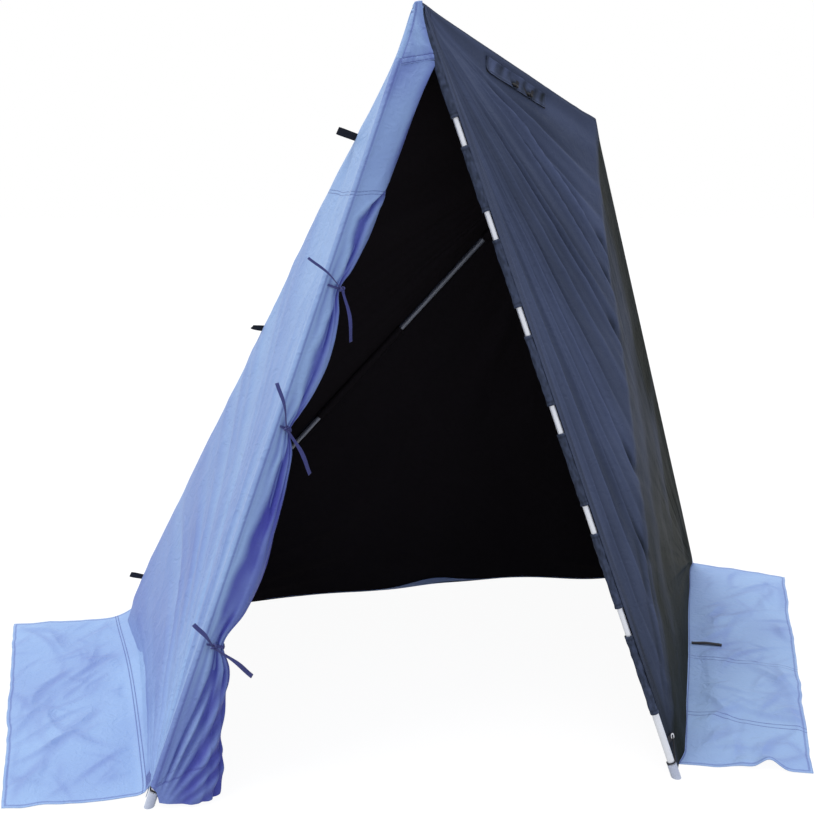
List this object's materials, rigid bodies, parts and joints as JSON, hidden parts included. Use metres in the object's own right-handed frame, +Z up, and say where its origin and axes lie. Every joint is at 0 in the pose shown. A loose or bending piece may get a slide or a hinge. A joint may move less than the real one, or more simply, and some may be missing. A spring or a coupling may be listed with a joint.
{
  "type": "portable darkroom tent",
  "caption": "Walk-in A-frame darkroom tent on sectional poles, with light-tight cloth walls, a door gathered to one pole, a covered vent under the ridge and flaps on the ground.",
  "frame": {"origin": "middle of the bounding box on the ground", "axes": "+Z up, the open front towards -Y, +X to the right seen from the front"},
  "size_m": [2.9398, 1.9736, 2.018],
  "materials": {
    "blue_cloth": "light blue coated nylon, faint weave, soft sheen, creased",
    "black_cloth": "blue-black light-tight coated nylon, soft sheen, creased",
    "webbing": "black woven webbing, matt",
    "ribbon": "dark navy twill tape, matt",
    "vent_mesh": "black fine mesh",
    "pole_tube": "pale silver tube, satin, lightly scuffed",
    "spigot_metal": "plain drawn rod",
    "eyelet_metal": "nickel plated, bright",
    "connector_plastic": "black moulded plastic, fine grain",
    "toggle_plastic": "black moulded plastic, smooth",
    "foot_plastic": "pale grey moulded end cap"
  },
  "bodies": {
    "tent": {"left_wall": "blue_cloth", "gable": "blue_cloth", "front_left_sleeve": "blue_cloth", "right_wall": "black_cloth", "back_wall": "black_cloth", "ridge_sleeve": "black_cloth", "front_right_sleeve": "black_cloth", "rear_left_sleeve": "black_cloth", "rear_right_sleeve": "black_cloth", "corner_tabs": "webbing", "guy_loops": "webbing", "vent_mesh": "vent_mesh", "ridge_pole": "pole_tube", "front_left_upper_tube": "pole_tube", "front_right_upper_tube": "pole_tube", "rear_left_upper_tube": "pole_tube", "rear_right_upper_tube": "pole_tube", "front_left_lower_tube": "pole_tube", "front_right_lower_tube": "pole_tube", "rear_left_lower_tube": "pole_tube", "rear_right_lower_tube": "pole_tube", "front_left_foot_tube": "pole_tube", "front_right_foot_tube": "pole_tube", "rear_left_foot_tube": "pole_tube", "rear_right_foot_tube": "pole_tube", "front_left_spigot": "spigot_metal", "front_right_spigot": "spigot_metal", "rear_left_spigot": "spigot_metal", "rear_right_spigot": "spigot_metal", "corner_eyelets": "eyelet_metal", "front_apex_connector": "connector_plastic", "rear_apex_connector": "connector_plastic", "front_left_foot_cap": "foot_plastic", "front_right_foot_cap": "foot_plastic", "rear_left_foot_cap": "foot_plastic", "rear_right_foot_cap": "foot_plastic"},
    "door": {"door": "blue_cloth", "upper_tie": "ribbon", "middle_tie": "ribbon", "lower_tie": "ribbon"},
    "left_flap": {"left_flap": "blue_cloth"},
    "right_flap": {"right_flap": "blue_cloth", "flap_strap": "webbing"},
    "rear_flap": {"rear_flap": "blue_cloth"},
    "vent_cover": {"vent_cover": "black_cloth", "vent_toggles": "toggle_plastic"}
  },
  "joints": [
    {"name": "door_swing", "type": "hinge", "parent": "tent", "child": "door", "pos_m": [-0.72, -0.974, 0], "axis": [0.315, 0.2158, 0.9242], "range_deg": [-30, 25]},
    {"name": "left_flap_lift", "type": "hinge", "parent": "tent", "child": "left_flap", "pos_m": [-0.74488, -0.98154, 0.001], "axis": [-0.29, 0.957, 0], "range_deg": [0, 85]},
    {"name": "right_flap_lift", "type": "hinge", "parent": "tent", "child": "right_flap", "pos_m": [0.67476, -0.85995, 0.001], "axis": [-0.3056, -0.9522, 0], "range_deg": [0, 95]},
    {"name": "rear_flap_lift", "type": "hinge", "parent": "tent", "child": "rear_flap", "pos_m": [-1.06561, 0.17339, 0.001], "axis": [0.9764, 0.2157, 0], "range_deg": [0, 95]},
    {"name": "vent_cover_lift", "type": "hinge", "parent": "tent", "child": "vent_cover", "pos_m": [0.15558, -0.35985, 1.9017], "axis": [-0.7269, -0.5958, 0.3416], "range_deg": [0, 70]}
  ]
}
